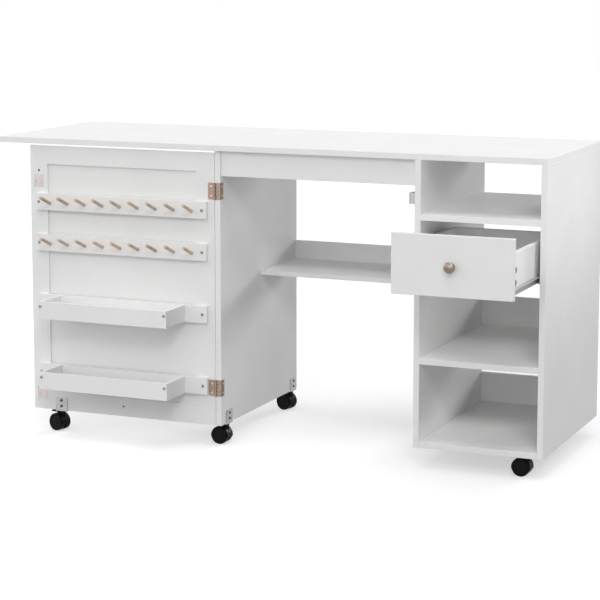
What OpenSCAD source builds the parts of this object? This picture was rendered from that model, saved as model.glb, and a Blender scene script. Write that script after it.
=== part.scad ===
// Folding sewing table: a drop leaf, a shelf cabinet with one drawer, and a fold-out door.
// X runs along the table to the right, Y from the front to the back, Z up from the floor.

/* [Table] */
// Length of the drop leaf
leaf_len = 616.5; // [580:0.5:640]
// Clear width of the knee space
knee_w = 516.5; // [495:0.5:530]
// Outer width of the shelf cabinet
cabinet_w = 327; // [300:1:360]
// Depth of the top
top_depth = 500; // [470:5:540]
// Height of the top above the floor
table_h = 770; // [755:5:800]
// Thickness of the boards
board_t = 15; // [14:0.5:17]
// Slit between the leaf and the fixed top
leaf_slit = 0.8; // [0.5:0.1:1.5]
// How much the leg panel is shorter than the top at the back
leg_setback = 6; // [0:1:25]
// How far the leg panel and the open door stand behind the front edge of the top
front_setback = 8; // [0:0.5:8]
// How far the apron stands behind the front edge of the leg panel
apron_setback = 6; // [0:0.5:10]
// Height of the apron under the top
apron_h = 63.5; // [45:0.5:75]
// Lower edge of the leg panel above the lower edge of the cabinet
leg_lift = 2; // [0:0.5:6]

/* [Knee shelf] */
// Knee shelf surface below the top surface
knee_shelf_drop = 351; // [330:1:370]
// Depth of the knee shelf
knee_shelf_depth = 238; // [200:1:260]
// Thickness of the knee shelf
knee_shelf_t = 12; // [12:0.5:15]
// Height of the rail behind the knee shelf
knee_rail_h = 49; // [35:0.5:60]
// Thickness of the back rails
rail_t = 12; // [10:1:15]

/* [Cabinet] */
// Upper shelf surface below the top surface
upper_shelf_drop = 145; // [135:1:155]
// How much the upper shelf is shorter than the top at the back
upper_shelf_setback = 16.5; // [0:0.5:25]
// Lower shelf surface above the bottom board
lower_shelf_lift = 206.5; // [190:0.5:220]
// Height of the two back rails of the cabinet
cabinet_rail_h = 78; // [60:1:95]

/* [Board joints] */
// Diameter of the cam locks
cam_d = 15; // [12:1:15]
// Depth of the cam pockets
cam_depth = 11; // [9:0.5:11]
// Cam centre from the end of its board
cam_inset = 25; // [20:1:34]
// Cam centre from the front and back edge of its board
cam_edge = 60; // [45:1:75]
// Cam centre from the front and back edge of the bottom board, clear of the caster plates
bottom_cam_edge = 130; // [125:1:160]
// Radial clearance round a cam lock
cam_clear = 0.08; // [0.05:0.01:0.1]

/* [Door] */
// Thickness of the door frame
door_t = 15; // [14:0.5:17]
// Width of the door stiles
stile_w = 50; // [45:0.5:54]
// Height of the top rail of the door
door_top_rail_h = 48.5; // [42:0.5:54]
// Height of the bottom rail of the door
door_bottom_rail_h = 49.5; // [42:0.5:54]
// Thickness of the door panel
door_panel_t = 5; // [4:0.5:6]
// Depth of the groove that holds the door panel
door_groove = 8; // [5:0.5:10]
// Lower edge of the door above the lower edge of the cabinet
door_lift = 2; // [0:0.5:6]
// Gap between the closed door and the cabinet
door_side_gap = 3.5; // [1:0.1:5]
// Gap between the door edge and the hinge axis
door_hinge_gap = 0.8; // [0.6:0.1:1.2]
// Where the bevel on the door top starts, from the inner face
door_bevel_start = 0.5; // [0.5:0.5:1.5]

/* [Door hinges] */
// Height of a door hinge
hinge_h = 41.5; // [38:0.5:48]
// Top of the upper hinge below the top surface
upper_hinge_drop = 95.5; // [85:0.5:105]
// Lower hinge above the lower edge of the door
lower_hinge_lift = 76.5; // [70:0.5:84]
// Radius of the hinge knuckles
knuckle_r = 3; // [2.6:0.1:3.4]
// Radius of the hinge pin
hinge_pin_r = 1.5; // [1.2:0.1:1.8]
// Thickness of the hinge plates
hinge_plate_t = 1.2; // [1:0.1:1.5]
// Width of the plate on the door
door_plate_w = 18.5; // [16:0.5:18.5]
// Length of the hinge wing on the side of the leg panel
wing_len = 15.5; // [12:0.5:22]
// Knuckles in a hinge
knuckles = 9; // [5:2:11]

/* [Peg rails] */
// Rail end from the free edge of the door
rail_free_margin = 20; // [16:0.5:26]
// Rail end from the hinge axis
rail_hinge_margin = 19.5; // [19:0.5:24]
// Thickness of the peg rails and tray rails
door_rail_t = 10; // [9:0.5:12]
// Height of a peg rail
peg_rail_h = 43; // [40:0.5:50]
// Top of the upper peg rail below the top surface
upper_pegs_drop = 143.5; // [140:0.5:150]
// Top of the lower peg rail below the top surface
lower_pegs_drop = 250; // [240:0.5:260]
// Pegs on a rail
peg_count = 9; // [7:1:11]
// Diameter of a peg
peg_d = 8.5; // [6:0.5:10]
// Length of a peg outside its rail
peg_len = 53; // [44:1:60]
// Length of a peg inside its rail
peg_seat = 8; // [6:0.5:8.5]
// Tilt of a peg above the horizontal
peg_tilt = 22; // [15:1:30]
// Middle of a peg above the lower edge of its rail, where it leaves the rail
peg_lift = 18.5; // [17:0.5:24]
// First peg from the free end of its rail
peg_free_inset = 41; // [34:0.5:48]
// Last peg from the hinge end of its rail
peg_hinge_inset = 41; // [36:0.5:52]

/* [Trays] */
// Height of a tray
tray_h = 43.5; // [38:0.5:48]
// Reach of a tray from the door
tray_reach = 114; // [100:0.5:116]
// Tray end from the free edge of the door
tray_free_margin = 81; // [70:1:90]
// Tray end from the hinge axis
tray_hinge_margin = 81.5; // [76:0.5:92]
// Thickness of the tray boards
tray_t = 9; // [8:0.5:12]
// Thickness of the tray bottoms
tray_bottom_t = 3; // [2.5:0.5:4]
// Top of the upper tray below the top surface
upper_tray_drop = 408; // [400:0.5:416]
// Lower tray above the lower edge of the door
lower_tray_lift = 80; // [76:0.5:84]

/* [Door fittings] */
// Width of a strike plate
strike_w = 26.5; // [22:0.5:28]
// Height of a strike plate
strike_h = 32; // [28:1:36]
// Thickness of a strike plate
strike_t = 1; // [0.8:0.1:1.2]
// Strike plate from the free edge of the door
strike_inset = 10.5; // [6:0.5:10.5]
// Top of the upper strike plate below the top surface
upper_strike_drop = 95; // [90:1:100]
// Lower strike plate above the lower edge of the door
lower_strike_lift = 27.5; // [22:0.5:32]
// Thickness of the magnetic catch
catch_w = 15.5; // [15.5:0.5:18]
// Depth of the magnetic catch behind the leg panel's front edge
catch_depth = 20; // [16:1:26]
// Height of the magnetic catch
catch_h = 27; // [24:1:32]
// Top of the magnetic catch below the top surface
catch_drop = 95; // [88:1:98]

/* [Leaf hinges] */
// Length of a leaf hinge
leaf_hinge_len = 50; // [40:1:60]
// Width of a leaf hinge plate
leaf_plate_w = 27; // [22:1:32]
// Thickness of a leaf hinge plate
leaf_plate_t = 1.5; // [1.2:0.1:2]
// Radius of the leaf hinge knuckles
leaf_knuckle_r = 4; // [3.5:0.1:4.5]
// Radius of the leaf hinge pin
leaf_pin_r = 2; // [1.6:0.1:2.2]
// Leaf hinges along the leaf
leaf_hinge_count = 3; // [2:1:4]
// Centre of the first and last leaf hinge from the edge of the leaf
leaf_hinge_inset = 70; // [60:5:90]

/* [Drawer] */
// How far the drawer stands open
drawer_out = 205; // [150:5:230]
// Height of the drawer front
drawer_front_h = 142.5; // [136:0.5:152]
// Gap round the drawer front
drawer_gap = 1.5; // [1.5:0.5:3]
// Gap above the drawer front
drawer_top_gap = 2; // [2:0.5:4]
// Thickness of the drawer sides and back
drawer_side_t = 12; // [10:1:13]
// Height of the drawer sides
drawer_side_h = 95.5; // [92:0.5:104]
// Drawer side top below the top of the drawer front
drawer_side_drop = 38.5; // [34:0.5:42]
// Length of the drawer sides
drawer_len = 400; // [350:5:420]
// Thickness of the drawer bottom
drawer_bottom_t = 3; // [2.5:0.5:4]
// Depth of the grooves for the drawer bottom
drawer_groove = 5; // [4:0.5:6]
// Height of the drawer bottom above the lower edge of the sides
drawer_bottom_lift = 8; // [6:0.5:10]
// Diameter of the knob
knob_d = 27; // [22:1:32]
// Diameter of the neck of the knob
knob_neck_d = 11; // [8:0.5:14]
// Diameter of the foot of the knob
knob_foot_d = 16; // [15:0.5:20]
// Height of the dome on the knob
knob_dome_h = 6; // [4:0.5:8]
// Reach of the knob
knob_reach = 24; // [20:1:28]
// Cam lock centre behind the drawer front
drawer_cam_inset = 38; // [30:1:44]
// Upper cam lock below the top of the side
drawer_cam_upper = 40; // [30:0.5:45]
// Lower cam lock above the lower edge of the side
drawer_cam_lower = 25.5; // [25:0.5:30]
// Depth of the drawer cam locks
drawer_cam_depth = 8; // [6:0.5:8.5]

/* [Drawer slides] */
// Space between a drawer side and the cabinet side
slide_space = 12.5; // [12.5:0.1:13.5]
// Thickness of the slide steel
slide_t = 1.2; // [1:0.1:1.4]
// Height of the slide on the drawer
runner_h = 16.5; // [16.5:0.5:17.5]
// Height of the slide in the cabinet
slide_rail_h = 24; // [23:0.5:26]
// Radius of the slide rollers
roller_r = 7; // [6:0.1:7.2]
// Width of the slide rollers
roller_w = 6; // [5:0.1:6.2]
// Radius of the roller pins
roller_pin_r = 2; // [1.6:0.1:2.4]

/* [Casters] */
// Height from the floor to the lower edge of the boards
caster_h = 53; // [51:0.5:58]
// Radius of the caster wheels
wheel_r = 22; // [20:0.5:22.5]
// Width of one caster wheel
wheel_w = 15; // [12:0.5:17]
// Thickness of the web between the wheels
web_t = 6; // [5:0.5:8]
// Trail of the wheel behind the stem
caster_trail = 13; // [11:0.5:15]
// Radius of the caster axle
axle_r = 3; // [2.5:0.1:3.4]
// Radius of the caster stem
stem_r = 4; // [3.5:0.1:4.5]
// Thickness of the brackets and caster plates
bracket_t = 2; // [1.5:0.1:2.5]
// Width of a caster bracket
bracket_w = 34; // [30:1:36]
// Height of a caster bracket
bracket_h = 36; // [32:1:37]
// Side of a square caster plate
caster_plate_w = 60; // [50:1:64]
// Door caster from the free edge of the door
door_caster_inset = 81; // [60:1:100]
// Front leg caster from the front edge of the leg panel
front_caster_inset = 46; // [40:1:60]
// Rear leg caster from the back of the leg panel
rear_caster_inset = 26; // [22:1:45]
// Cabinet caster from the right face of the cabinet
cabinet_caster_inset = 50; // [40:1:60]
// Cabinet caster from the front plane
cabinet_caster_front = 45; // [42:1:60]
// Rear cabinet caster from the right face of the cabinet
back_caster_inset = 160; // [120:5:200]
// Rear cabinet caster from the back of the cabinet
back_caster_rear = 60; // [45:1:90]
// Length of the brake lever outside its pivot
brake_len = 26; // [20:1:28]
// Width of the brake lever
brake_w = 14; // [10:1:18]
// Turn of the door caster about its stem
door_caster_turn = -14; // [-90:1:90]
// Turn of the rear leg caster about its stem
rear_caster_turn = -14; // [-90:1:90]

/* [Screws] */
// Diameter of a screw head
screw_head_d = 8; // [6:0.5:9]
// Height of a screw head
screw_head_h = 2.2; // [1.6:0.1:2.8]
// Radius of a screw shank
screw_r = 1.7; // [1.4:0.1:2]

/* [Hidden] */
// Radial clearance of pins, axles and stems in their bores
run_clear = 0.08;
// Gap between pieces that move past each other
gap = 0.3;
// Clearance of a panel in its groove
fit = 0.1;
// Clearance at the ends of a panel in its groove
panel_slack = 0.4;
// How far a cut runs past a face
over = 1;
$fn = 48;

// Main planes of the table
seam_x = leaf_len;
leg_right_x = seam_x + board_t;
cabinet_left_x = leg_right_x + knee_w;
cabinet_in_left = cabinet_left_x + board_t;
table_len = cabinet_left_x + cabinet_w;
cabinet_in_right = table_len - board_t;
leg_back_y = top_depth - leg_setback;
apron_y = front_setback + apron_setback;
top_under = table_h - board_t;
board_bottom = caster_h;
leg_bottom = board_bottom + leg_lift;
panel_h = top_under - board_bottom;
cabinet_in_w = cabinet_in_right - cabinet_in_left;

// Cross recesses of the cam locks and the screws
cam_cross = 9;
cam_cross_w = 1.6;
cam_cross_depth = 2;
screw_cross = 4;
screw_cross_w = 1;
screw_cross_depth = 1.2;
screw_ease = 1.2;

// Shelves
knee_shelf_z = table_h - knee_shelf_drop;
upper_shelf_z = table_h - upper_shelf_drop;
lower_shelf_z = board_bottom + board_t + lower_shelf_lift;

// Door, open, with its hinge axis in front of the seam. Its Y values are from the front edge of the
// leg panel, where its inner face lies.
hinge_y = -(knuckle_r + gap);
door_reach = board_t + knee_w - door_side_gap;
door_free_x = seam_x - door_reach;
door_edge_x = seam_x - door_hinge_gap;
door_bottom = board_bottom + door_lift;
leaf_pass = 0.4;
door_top_gap = (front_setback + door_bevel_start) / 2 + leaf_pass;
door_top = top_under - door_top_gap;
door_bevel_slope = 0.75;
door_bevel_drop = (door_t - door_bevel_start) * door_bevel_slope;
door_panel_y = (door_t - door_panel_t) / 2;
hinge_zs = [table_h - upper_hinge_drop - hinge_h, door_bottom + lower_hinge_lift];
strike_zs = [table_h - upper_strike_drop - strike_h, door_bottom + lower_strike_lift];
catch_z = table_h - catch_drop - catch_h;
catch_front = 2 * hinge_y + strike_t + gap;
pole_out = 0.6;

// Rails and trays on the door
rail_left = door_free_x + rail_free_margin;
rail_right = seam_x - rail_hinge_margin;
rail_len = rail_right - rail_left;
rail_screw_free = 8.5;
rail_screw_hinge = 12.5;
rail_screw_xs = [rail_left + rail_screw_free, rail_right - rail_screw_hinge];
peg_zs = [table_h - upper_pegs_drop - peg_rail_h, table_h - lower_pegs_drop - peg_rail_h];
tray_zs = [table_h - upper_tray_drop - tray_h, door_bottom + lower_tray_lift];
tray_left = door_free_x + tray_free_margin;
tray_right = seam_x - tray_hinge_margin;
tray_len = tray_right - tray_left;
tray_back_y = -door_rail_t;
tray_front_y = -tray_reach;
tray_screw_drop = 12;
tray_screw_inset = 7;
tray_bottom_z = 3;

// Leaf hinges: the axis lies in the corner below the leaf and left of the leg panel
leaf_axis_x = seam_x - leaf_knuckle_r - gap;
leaf_axis_z = top_under - leaf_knuckle_r - gap;
leaf_third = leaf_hinge_len / 3;
leaf_bridge = 1;
leaf_hinge_step = (leg_back_y - 2 * leaf_hinge_inset) / (leaf_hinge_count - 1);
leaf_hinge_ys = [for (i = [0 : leaf_hinge_count - 1])
    leaf_hinge_inset + i * leaf_hinge_step - leaf_hinge_len / 2];

// Drawer, drawn open
drawer_left = cabinet_in_left + drawer_gap;
drawer_right = cabinet_in_right - drawer_gap;
drawer_top = upper_shelf_z - board_t - drawer_top_gap;
drawer_bottom = drawer_top - drawer_front_h;
drawer_y = -drawer_out;
side_y = drawer_y + board_t;
side_left = cabinet_in_left + slide_space;
side_right = cabinet_in_right - slide_space;
side_top = drawer_top - drawer_side_drop;
side_z = side_top - drawer_side_h;
panel_z = side_z + drawer_bottom_lift;
inner_left = side_left + drawer_side_t;
inner_right = side_right - drawer_side_t;
knob_brim_h = 3;
knob_foot_h = 2;

// Drawer slides
lip_z = side_z + runner_h - slide_t;
slide_foot = 2.6;
slide_front = 4;
slide_tail = 8;
front_roller_inset = 10;
rear_roller_inset = 12;
slide_rail_z = side_z - slide_foot;
slide_rail_y = board_t + slide_front;
front_roller_y = slide_rail_y + front_roller_inset;
front_roller_z = lip_z - gap - roller_r;
rear_roller_y = side_y + drawer_len - rear_roller_inset;
rear_roller_z = slide_rail_z + slide_t + gap + roller_r;
slide_len = rear_roller_y + drawer_out + roller_r + slide_tail - slide_rail_y;
roller_x = slide_t + gap;

// Casters
axle_z = wheel_r;
fender_gap = 0.6;
fender_t = 1.2;
hood_r = wheel_r + fender_gap + fender_t;
hood_w = 30;
hood_skirt = 2.5;
hood_cut_z = axle_z - axle_r - hood_skirt;
boss_r = 7;
pivot_u = -10;
pivot_r = 1.1;
barrel_r = 2;
ear_t = 2.5;
ear_half = 3;
ear_foot_z = axle_z + wheel_r + fender_gap;
lever_t = 2.4;
lever_toe = 4;
pivot_z = board_bottom - bracket_t - gap - barrel_r;
plate_z = board_bottom - bracket_t;
leg_flange_z = leg_bottom - bracket_t;
door_flange_z = door_bottom - bracket_t;
leg_mid_x = seam_x + board_t / 2;

// Each caster: its stem's place, the height of the flange that holds it, and its turn about the stem
door_caster_at = [door_free_x + door_caster_inset, front_setback + door_t / 2, door_flange_z, door_caster_turn];
leg_front_at = [leg_mid_x, front_setback + front_caster_inset, leg_flange_z, 0];
leg_rear_at = [leg_mid_x, leg_back_y - rear_caster_inset, leg_flange_z, rear_caster_turn];
cabinet_front_at = [table_len - cabinet_caster_inset, cabinet_caster_front, plate_z, 0];
cabinet_rear_at = [table_len - back_caster_inset, top_depth - back_caster_rear, plate_z, 0];
bracket_screw_low = 11.5;
bracket_screw_pitch = 15;
bracket_screw_zs = [bracket_screw_low, bracket_screw_low + bracket_screw_pitch];

// Middle of the whole table, with the drawer open, on the floor
origin_x = table_len / 2;
origin_y = (top_depth - drawer_out - knob_reach) / 2;

white = "#F2F2F2";
grey_white = "#DDDDDC";
zinc = "#A9ABAC";
rose_brown = "#9A7F6E";
beech = "#D9BE93";
black = "#1B1B1A";

// Moves a piece from the table's corner to the middle of the table
module placed() {
    translate([-origin_x, -origin_y, 0])
        children();
}

// Moves a piece of the door, its hinges or its catch to the front edge of the leg panel
module at_door() {
    placed()
        translate([0, front_setback, 0])
            children();
}

// A plain board from its lowest corner
module board(corner, size) {
    translate(corner)
        cube(size);
}

// A round bar along X, Y or Z from its start
module bar_x(start, r, len) {
    translate(start)
        rotate([0, 90, 0])
            cylinder(r = r, h = len);
}

module bar_y(start, r, len) {
    translate(start)
        rotate([-90, 0, 0])
            cylinder(r = r, h = len);
}

module bar_z(start, r, len) {
    translate(start)
        cylinder(r = r, h = len);
}

// Places of the cam locks in the underside of a board between two panels
function cam_places(x0, x1, y0, y1) =
    [for (x = [x0 + cam_inset, x1 - cam_inset]) for (y = [y0, y1]) [x, y]];

module cams(places, z, r, depth) {
    for (p = places)
        bar_z([p[0], p[1], z], r, depth);
}

knee_cams = cam_places(leg_right_x, cabinet_left_x,
    leg_back_y - knee_shelf_depth + cam_edge, leg_back_y - rail_t - cam_edge);
shelf_cams = cam_places(cabinet_in_left, cabinet_in_right, cam_edge, top_depth - cam_edge);
bottom_cams = cam_places(cabinet_in_left, cabinet_in_right,
    bottom_cam_edge, top_depth - bottom_cam_edge);

// A board with cam pockets in its underside
module cam_board(corner, size, places) {
    difference() {
        board(corner, size);
        cams(places, corner[2] - over, cam_d / 2 + cam_clear, cam_depth + over);
    }
}

module tabletop() {
    color(white)
        placed()
            board([seam_x, 0, top_under], [table_len - seam_x, top_depth, board_t]);
}

module drop_leaf() {
    color(white)
        placed()
            board([0, 0, top_under], [leaf_len - leaf_slit, top_depth, board_t]);
}

module leg_panel() {
    color(white)
        placed()
            board([seam_x, front_setback, leg_bottom],
                [board_t, leg_back_y - front_setback, top_under - leg_bottom]);
}

module apron() {
    color(grey_white)
        placed()
            board([leg_right_x, apron_y, top_under - apron_h], [knee_w, board_t, apron_h]);
}

module knee_shelf() {
    color(grey_white)
        placed()
            cam_board([leg_right_x, leg_back_y - knee_shelf_depth, knee_shelf_z - knee_shelf_t],
                [knee_w, knee_shelf_depth, knee_shelf_t], knee_cams);
}

module knee_back_rail() {
    color(grey_white)
        placed()
            board([leg_right_x, leg_back_y - rail_t, knee_shelf_z], [knee_w, rail_t, knee_rail_h]);
}

module cabinet_side(x) {
    color(white)
        placed()
            board([x, 0, board_bottom], [board_t, top_depth, panel_h]);
}

module cabinet_left_panel() {
    cabinet_side(cabinet_left_x);
}

module cabinet_right_panel() {
    cabinet_side(cabinet_in_right);
}

module cabinet_shelf(z, depth, places) {
    color(grey_white)
        placed()
            cam_board([cabinet_in_left, 0, z - board_t], [cabinet_in_w, depth, board_t], places);
}

module upper_shelf() {
    cabinet_shelf(upper_shelf_z, top_depth - upper_shelf_setback, shelf_cams);
}

module lower_shelf() {
    cabinet_shelf(lower_shelf_z, top_depth, shelf_cams);
}

module bottom_board() {
    cabinet_shelf(board_bottom + board_t, top_depth, bottom_cams);
}

module cabinet_back_rail(z) {
    color(grey_white)
        placed()
            board([cabinet_in_left, top_depth - rail_t, z], [cabinet_in_w, rail_t, cabinet_rail_h]);
}

module middle_back_rail() {
    cabinet_back_rail(lower_shelf_z);
}

module lower_back_rail() {
    cabinet_back_rail(board_bottom + board_t);
}

// A cross recess, cut into a face at z = 0 towards +Z
module cross_recess(len, width, depth) {
    for (turn = [0, 90])
        rotate([0, 0, turn])
            translate([-len / 2, -width / 2, -over])
                cube([len, width, depth + over]);
}

// Cam locks with a cross slot, seated in the undersides of the shelves
module cam_row(places, z) {
    for (p = places)
        translate([p[0], p[1], z])
            difference() {
                cylinder(d = cam_d, h = cam_depth);
                cross_recess(cam_cross, cam_cross_w, cam_cross_depth);
            }
}

module cam_locks() {
    color(zinc)
        placed() {
            cam_row(knee_cams, knee_shelf_z - knee_shelf_t);
            cam_row(shelf_cams, upper_shelf_z - board_t);
            cam_row(shelf_cams, lower_shelf_z - board_t);
            cam_row(bottom_cams, board_bottom);
        }
}

// Leaf hinges: a knuckle on each side of the moving one, with the pin fixed in the outer two
module leaf_hinge_plates() {
    color(zinc)
        placed()
            for (y = leaf_hinge_ys) {
                board([seam_x - leaf_plate_t, y, leaf_axis_z - leaf_plate_w],
                    [leaf_plate_t, leaf_hinge_len, leaf_plate_w - leaf_knuckle_r - gap]);
                for (start = [y, y + 2 * leaf_third + gap / 2]) {
                    bar_y([leaf_axis_x, start, leaf_axis_z], leaf_knuckle_r, leaf_third - gap / 2);
                    board([leaf_axis_x, start, leaf_axis_z - leaf_knuckle_r - leaf_bridge],
                        [leaf_knuckle_r + gap, leaf_third - gap / 2, 2 * leaf_bridge]);
                    board([seam_x - leaf_plate_t, start, leaf_axis_z - leaf_knuckle_r - leaf_bridge],
                        [leaf_plate_t, leaf_third - gap / 2, leaf_knuckle_r + leaf_bridge]);
                }
                bar_y([leaf_axis_x, y, leaf_axis_z], leaf_pin_r, leaf_hinge_len);
            }
}

module leaf_hinge_flaps() {
    color(zinc)
        placed()
            for (y = leaf_hinge_ys)
                difference() {
                    union() {
                        board([leaf_axis_x - leaf_plate_w, y, top_under - leaf_plate_t],
                            [leaf_plate_w - leaf_knuckle_r - gap, leaf_hinge_len, leaf_plate_t]);
                        board([leaf_axis_x - leaf_knuckle_r - leaf_bridge, y + leaf_third + gap / 2,
                            top_under - leaf_plate_t],
                            [leaf_knuckle_r + leaf_bridge, leaf_third - gap, leaf_plate_t]);
                        bar_y([leaf_axis_x, y + leaf_third + gap / 2, leaf_axis_z], leaf_knuckle_r,
                            leaf_third - gap);
                    }
                    bar_y([leaf_axis_x, y - over, leaf_axis_z], leaf_pin_r + run_clear,
                        leaf_hinge_len + 2 * over);
                }
}

// Door hinges: odd knuckles belong to the wrap on the leg panel, even ones to the door
knuckle_h = hinge_h / knuckles;

module knuckle_set(first, z0) {
    for (k = [first : 2 : knuckles - 1])
        bar_z([seam_x, hinge_y, z0 + k * knuckle_h + gap / 2], knuckle_r, knuckle_h - gap);
}

// Tongues that join a hinge plate to its own knuckles
module knuckle_tongues(first, z0, x0) {
    for (k = [first : 2 : knuckles - 1])
        board([x0, -hinge_plate_t, z0 + k * knuckle_h + gap / 2],
            [knuckle_r + gap, hinge_plate_t, knuckle_h - gap]);
}

module pin_bore(z0) {
    bar_z([seam_x, hinge_y, z0 - over], hinge_pin_r + run_clear, hinge_h + 2 * over);
}

module door_hinge_wraps() {
    color(rose_brown)
        at_door()
            for (z0 = hinge_zs)
                difference() {
                    union() {
                        knuckle_set(0, z0);
                        knuckle_tongues(0, z0, seam_x);
                        board([seam_x + knuckle_r + gap, -hinge_plate_t, z0],
                            [board_t - knuckle_r - gap + hinge_plate_t, hinge_plate_t, hinge_h]);
                        board([leg_right_x, -hinge_plate_t, z0],
                            [hinge_plate_t, wing_len + hinge_plate_t, hinge_h]);
                    }
                    pin_bore(z0);
                }
}

module door_hinge_leaves() {
    color(rose_brown)
        at_door()
            for (z0 = hinge_zs)
                difference() {
                    union() {
                        knuckle_set(1, z0);
                        knuckle_tongues(1, z0, seam_x - knuckle_r - gap);
                        board([seam_x - door_plate_w, -hinge_plate_t, z0],
                            [door_plate_w - knuckle_r - gap, hinge_plate_t, hinge_h]);
                    }
                    pin_bore(z0);
                }
}

module door_hinge_pins() {
    color(rose_brown)
        at_door()
            for (z0 = hinge_zs)
                bar_z([seam_x, hinge_y, z0], hinge_pin_r, hinge_h);
}

module magnetic_catch() {
    pole_t = 1.4;
    pole_inset = 2;
    pole_margin = 3;
    shell = catch_front + pole_out;
    color(zinc)
        at_door() {
            board([cabinet_left_x - catch_w, shell, catch_z], [catch_w, catch_depth - shell, catch_h]);
            for (x = [cabinet_left_x - catch_w + pole_inset, cabinet_left_x - pole_inset - pole_t])
                board([x, catch_front, catch_z + pole_margin],
                    [pole_t, 2 * pole_out, catch_h - 2 * pole_margin]);
        }
}

// Door frame profile in Y and Z: the outer top edge is bevelled, so the leaf can drop past it
module door_profile() {
    rotate([90, 0, 90])
        linear_extrude(height = door_reach - door_hinge_gap)
            polygon([
                [0, door_bottom],
                [0, door_top],
                [door_bevel_start, door_top],
                [door_t, door_top - door_bevel_drop],
                [door_t, door_bottom]
            ]);
}

module door_blank() {
    translate([door_free_x, 0, 0])
        door_profile();
}

opening_left = door_free_x + stile_w;
opening_right = door_edge_x - stile_w;
opening_bottom = door_bottom + door_bottom_rail_h;
opening_top = door_top - door_top_rail_h;

module panel_groove() {
    board([opening_left - door_groove, door_panel_y - fit / 2, opening_bottom - door_groove],
        [opening_right - opening_left + 2 * door_groove, door_panel_t + fit,
            opening_top - opening_bottom + 2 * door_groove]);
}

// The part of the door between its stiles
module door_middle() {
    board([opening_left, -over, door_bottom - over],
        [opening_right - opening_left, door_t + 2 * over, door_top - door_bottom + 2 * over]);
}

module door_stiles() {
    color(grey_white)
        at_door()
            difference() {
                door_blank();
                door_middle();
                panel_groove();
            }
}

module door_rails() {
    color(grey_white)
        at_door()
            difference() {
                intersection() {
                    door_blank();
                    door_middle();
                }
                board([opening_left - over, -over, opening_bottom],
                    [opening_right - opening_left + 2 * over, door_t + 2 * over,
                        opening_top - opening_bottom]);
                panel_groove();
            }
}

module door_panel() {
    tongue = door_groove - panel_slack;
    color(grey_white)
        at_door()
            board([opening_left - tongue, door_panel_y, opening_bottom - tongue],
                [opening_right - opening_left + 2 * tongue, door_panel_t,
                    opening_top - opening_bottom + 2 * tongue]);
}

// Peg places along a rail
peg_step = (rail_len - peg_free_inset - peg_hinge_inset) / (peg_count - 1);
peg_xs = [for (i = [0 : peg_count - 1]) rail_left + peg_free_inset + i * peg_step];

module at_pegs(z) {
    for (x = peg_xs)
        translate([x, -door_rail_t, z + peg_lift])
            rotate([90 - peg_tilt, 0, 0])
                children();
}

module rail_screw_holes(z) {
    for (x = rail_screw_xs)
        bar_y([x, -door_rail_t - over, z], screw_r + fit / 2, door_rail_t + 2 * over);
}

module peg_rail(z) {
    color(grey_white)
        at_door()
            difference() {
                board([rail_left, -door_rail_t, z], [rail_len, door_rail_t, peg_rail_h]);
                at_pegs(z)
                    translate([0, 0, -peg_seat - fit])
                        cylinder(r = peg_d / 2 + fit / 2, h = peg_seat + peg_d);
                rail_screw_holes(z + peg_rail_h / 2);
            }
}

module upper_peg_rail() {
    peg_rail(peg_zs[0]);
}

module lower_peg_rail() {
    peg_rail(peg_zs[1]);
}

// A turned peg with a rounded tip
module peg() {
    tip = 1.4;
    translate([0, 0, -peg_seat])
        rotate_extrude()
            polygon([
                [0, 0],
                [peg_d / 2, 0],
                [peg_d / 2, peg_seat + peg_len - tip],
                [peg_d / 2 - tip, peg_seat + peg_len],
                [0, peg_seat + peg_len]
            ]);
}

module pegs(z) {
    color(beech)
        at_door()
            at_pegs(z)
                peg();
}

module upper_pegs() {
    pegs(peg_zs[0]);
}

module lower_pegs() {
    pegs(peg_zs[1]);
}

module tray_rails() {
    color(grey_white)
        at_door()
            for (z = tray_zs)
                difference() {
                    board([rail_left, -door_rail_t, z], [rail_len, door_rail_t, tray_h]);
                    rail_screw_holes(z + tray_h / 2);
                }
}

tray_screw_xs = [tray_left + tray_screw_inset, tray_right - tray_screw_inset];

module tray_fronts() {
    color(grey_white)
        at_door()
            for (z = tray_zs)
                difference() {
                    board([tray_left, tray_front_y, z], [tray_len, tray_t, tray_h]);
                    for (x = tray_screw_xs)
                        bar_y([x, tray_front_y - over, z + tray_h - tray_screw_drop],
                            screw_r + fit / 2, tray_t + 2 * over);
                }
}

module tray_ends() {
    end_len = tray_back_y - tray_front_y - tray_t;
    color(grey_white)
        at_door()
            for (z = tray_zs)
                for (x = [tray_left, tray_right - tray_t])
                    board([x, tray_front_y + tray_t, z], [tray_t, end_len, tray_h]);
}

module tray_bottoms() {
    color(grey_white)
        at_door()
            for (z = tray_zs)
                board([tray_left + tray_t + fit, tray_front_y + tray_t + fit, z + tray_bottom_z],
                    [tray_len - 2 * (tray_t + fit),
                        tray_back_y - tray_front_y - tray_t - 2 * fit, tray_bottom_t]);
}

module strike_plates() {
    color(rose_brown)
        at_door()
            for (z = strike_zs)
                board([door_free_x + strike_inset, -strike_t, z], [strike_w, strike_t, strike_h]);
}

// A pan head with a cross recess and a shank, pointing along +Z from under the head
module screw(shank) {
    crown = screw_head_d / 2 - screw_ease;
    difference() {
        rotate_extrude()
            polygon([
                [0, -screw_head_h],
                [crown - screw_ease / 2, -screw_head_h],
                [crown + screw_ease / 2, screw_ease / 2 - screw_head_h],
                [screw_head_d / 2, screw_ease - screw_head_h],
                [screw_head_d / 2, 0],
                [screw_r, 0],
                [screw_r, shank],
                [0, shank]
            ]);
        translate([0, 0, -screw_head_h])
            cross_recess(screw_cross, screw_cross_w, screw_cross_depth);
    }
}

module screw_y(at, shank) {
    translate(at)
        rotate([-90, 0, 0])
            screw(shank);
}

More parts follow.
